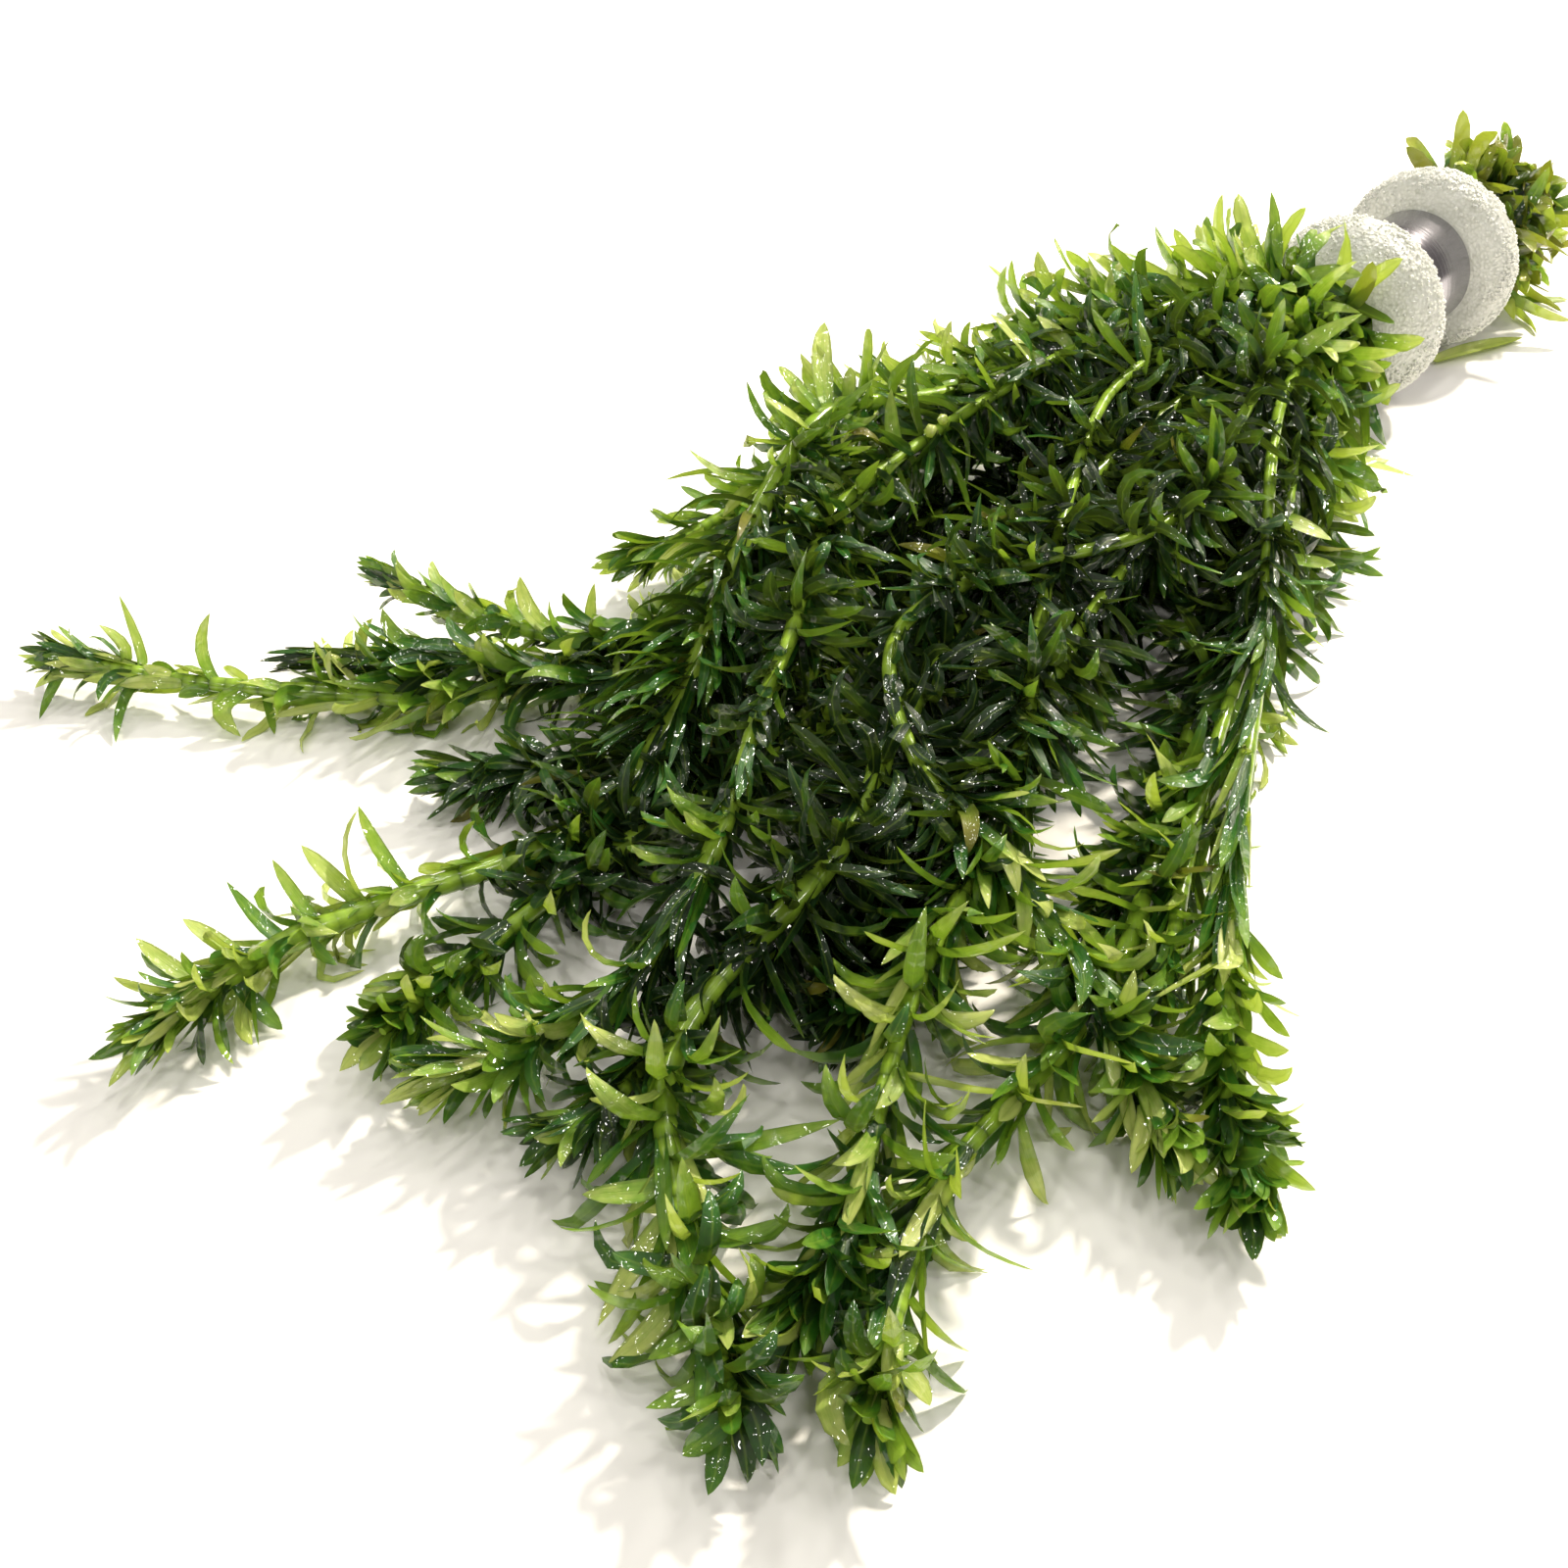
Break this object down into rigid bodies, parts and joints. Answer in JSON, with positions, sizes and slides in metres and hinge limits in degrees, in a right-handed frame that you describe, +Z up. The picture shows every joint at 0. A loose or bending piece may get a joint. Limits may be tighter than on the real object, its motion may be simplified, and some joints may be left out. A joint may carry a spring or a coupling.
{
  "type": "bunch of brazilian waterweed",
  "caption": "A wet bunch of leafy pond plant stems lying down, fanned out from a pinched foam sleeve held by a metal band.",
  "frame": {"origin": "middle of the bunch's footprint, on the surface it lies on", "axes": "+X runs along the bunch from the cut ends behind the sleeve to the growing tips, +Y across it, +Z up"},
  "size_m": [0.3096, 0.1918, 0.0443],
  "materials": {
    "foam": "wet open foam",
    "band_metal": "soft shine",
    "light_green": "wet leaf",
    "mid_green": "wet leaf",
    "dark_green": "wet leaf"
  },
  "bodies": {
    "root": {"foam_sleeve": "foam", "metal_band": "band_metal", "loose_leaf": "light_green", "far_left_stem": "light_green", "short_left_stem": "mid_green", "left_curl_stem": "light_green", "dark_tip_stem": "dark_green", "low_left_stem": "dark_green", "elbow_stem": "light_green", "hooked_stem": "mid_green", "top_left_stem": "light_green", "middle_stem": "mid_green", "long_middle_stem": "mid_green", "top_middle_stem": "light_green", "low_right_stem": "mid_green", "bent_stem": "light_green", "right_stem": "mid_green", "inner_right_stem": "mid_green", "under_right_stem": "dark_green", "under_middle_stem": "dark_green"}
  },
  "joints": []
}
